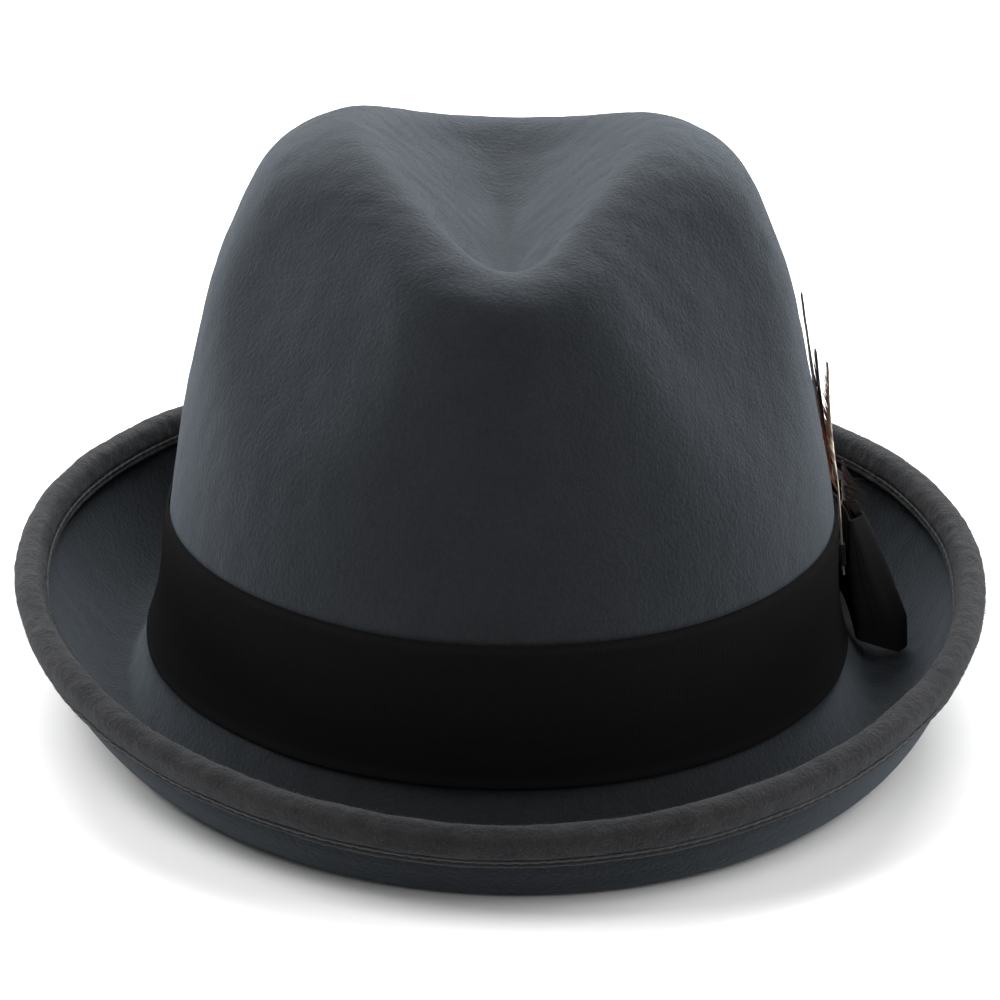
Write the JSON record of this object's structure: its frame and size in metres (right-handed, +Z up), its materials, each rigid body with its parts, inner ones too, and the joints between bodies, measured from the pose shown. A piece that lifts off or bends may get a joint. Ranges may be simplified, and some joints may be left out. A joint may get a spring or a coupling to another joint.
{
  "type": "fedora hat",
  "caption": "Felt fedora with a teardrop pinched crown and a short rolled, bound brim; wide ribbon band with a flat side bow and a removable bunch of feathers.",
  "frame": {"origin": "middle of the brim's footprint, on the surface that the brim's foot rests on", "axes": "+Z up, the wearer faces -Y, +X is the wearer's left side, where the bow and the feathers are"},
  "size_m": [0.2452, 0.2704, 0.1417],
  "materials": {
    "felt": "matte brushed wool felt",
    "felt_binding": "matte fuzzy wool felt",
    "thread": "matte thread",
    "ribbon": "matte grosgrain",
    "sweatband": "matte woven band",
    "lining": "satin",
    "feather_chestnut": "soft sheen",
    "feather_orange": "soft sheen",
    "feather_cream": "soft sheen",
    "feather_down": "fluffy"
  },
  "bodies": {
    "hat": {"felt_body": "felt", "brim_binding": "felt_binding", "binding_needle_thread": "thread", "binding_bobbin_thread": "thread", "hat_band": "ribbon", "bow_loop": "ribbon", "bow_knot": "ribbon", "sweatband": "sweatband", "sweatband_reed": "sweatband", "sweatband_thread": "thread", "lining_side": "lining", "lining_tip": "lining"},
    "feathers": {"feather_chestnut": "feather_chestnut", "feather_orange": "feather_orange", "feather_cream": "feather_cream", "feather_down": "feather_down", "feather_wrap": "thread"}
  },
  "joints": [
    {"name": "feather_slide", "type": "slide", "parent": "hat", "child": "feathers", "axis": [-0.105, 0.1966, 0.9749], "range_m": [0, 0.022]}
  ]
}
